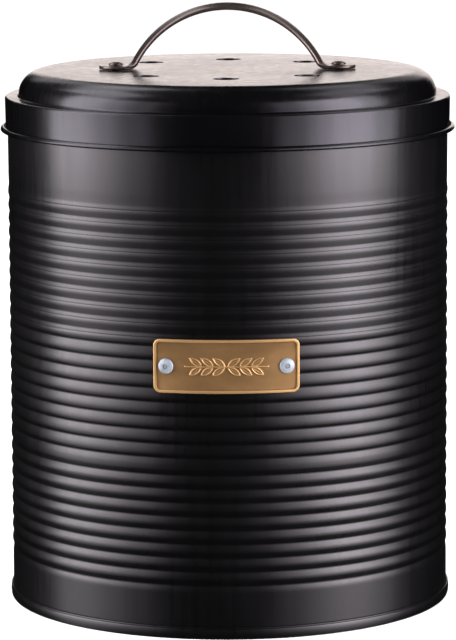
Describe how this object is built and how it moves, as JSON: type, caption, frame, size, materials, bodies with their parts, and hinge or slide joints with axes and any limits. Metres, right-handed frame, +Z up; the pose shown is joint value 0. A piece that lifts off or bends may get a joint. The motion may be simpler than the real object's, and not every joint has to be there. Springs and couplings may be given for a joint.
{
  "type": "food waste caddy",
  "caption": "Countertop food waste caddy: a ribbed steel can with a lift-off vented lid and strap handle, a bucket with a bail inside, and a charcoal filter.",
  "frame": {"origin": "on the can's axis, on the surface that it stands on", "axes": "+Z up; the name plate faces -Y; the handle's arch spans X"},
  "size_m": [0.1756, 0.1756, 0.231],
  "materials": {
    "black_paint": "satin black powder coat",
    "brass": "antique brass, satin",
    "pale_steel": "bright steel rivet",
    "zinc": "zinc plated wire",
    "gun_metal": "dark gun-metal plating",
    "grey_plastic": "fine matt moulded",
    "charcoal": "carbon-loaded felt"
  },
  "bodies": {
    "can": {"can_wall": "black_paint", "base_pan": "black_paint", "name_plate": "brass", "plate_rivet_left": "pale_steel", "plate_rivet_right": "pale_steel", "plate_rivet_left_mandrel": "zinc", "plate_rivet_right_mandrel": "zinc"},
    "bucket": {"liner_bucket": "grey_plastic"},
    "bail": {"bucket_bail": "zinc", "bail_grip": "grey_plastic"},
    "lid": {"lid_shell": "black_paint", "lid_handle": "gun_metal", "handle_rivet_left": "gun_metal", "handle_rivet_right": "gun_metal", "filter_holder": "grey_plastic"},
    "filter_cover": {"filter_cover": "grey_plastic"},
    "filter": {"filter_pad": "charcoal"}
  },
  "joints": [
    {"name": "bucket_lift", "type": "slide", "parent": "can", "child": "bucket", "axis": [0, 0, 1], "range_m": [0, 0.19]},
    {"name": "lid_lift", "type": "slide", "parent": "bucket", "child": "lid", "axis": [0, 0, 1], "range_m": [0, 0.15]},
    {"name": "bail_swing", "type": "hinge", "parent": "bucket", "child": "bail", "pos_m": [0, 0, 0.19075], "axis": [1, 0, 0], "range_deg": [0, 90]},
    {"name": "filter_cover_pull", "type": "slide", "parent": "lid", "child": "filter_cover", "axis": [0, 0, -1], "range_m": [0, 0.04]},
    {"name": "filter_pad_lift", "type": "slide", "parent": "filter_cover", "child": "filter", "axis": [0, 0, 1], "range_m": [0, 0.02]}
  ],
  "couplings": [
    {"joint": "bail_swing", "follows": "lid_lift", "rad_per_m": 10.472},
    {"joint": "filter_pad_lift", "follows": "filter_cover_pull", "ratio": 0.5}
  ]
}
